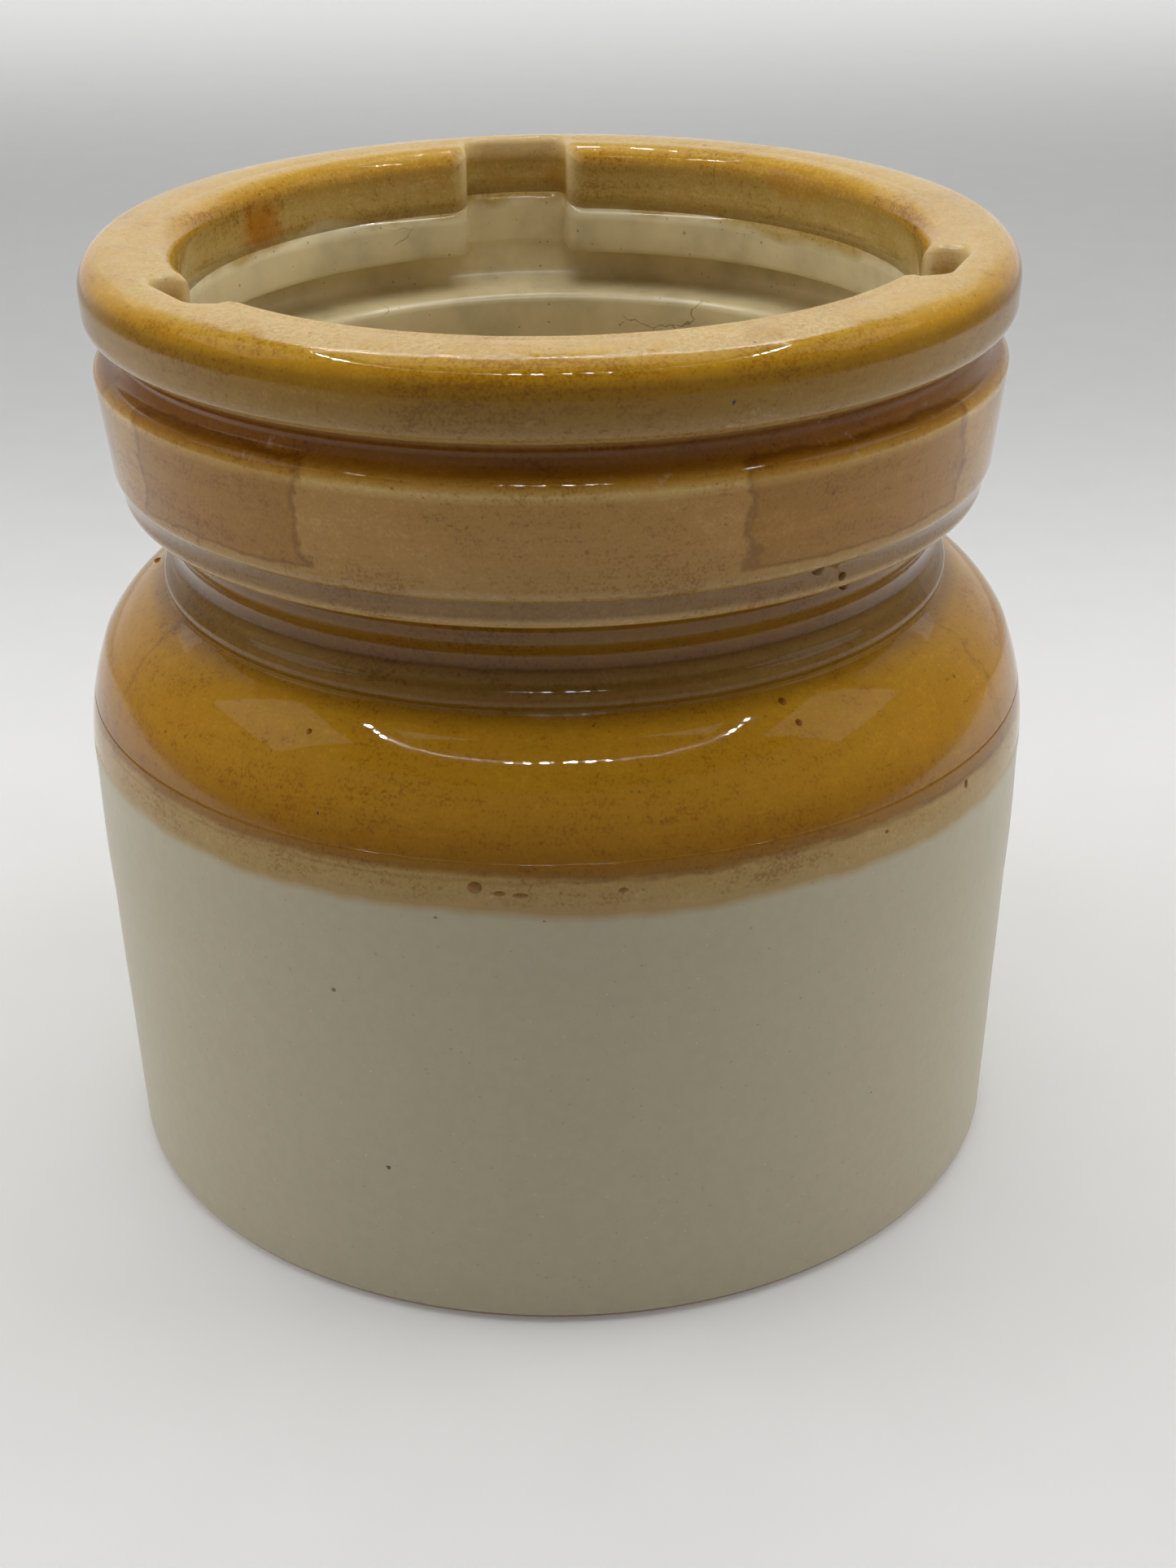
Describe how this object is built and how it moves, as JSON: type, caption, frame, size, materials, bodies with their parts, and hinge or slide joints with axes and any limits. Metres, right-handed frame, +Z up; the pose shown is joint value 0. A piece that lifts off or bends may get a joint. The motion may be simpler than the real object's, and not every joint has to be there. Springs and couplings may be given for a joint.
{
  "type": "butter crock",
  "caption": "Squat glazed stoneware crock with rounded shoulder, collar, rolled rim and a slotted bayonet mouth for a turning lid.",
  "frame": {"origin": "centre of the resting face under the foot", "axes": "+Z up out of the mouth; +Y towards the first lug slot, -Y is the front"},
  "size_m": [0.1402, 0.1402, 0.1391],
  "materials": {
    "clay": "matte",
    "ochre": "gloss",
    "cream": "gloss",
    "lining": "gloss"
  },
  "bodies": {
    "root": {"stoneware_body": "clay", "ochre_glaze": "ochre", "cream_glaze": "cream", "lining_glaze": "lining"}
  },
  "joints": []
}
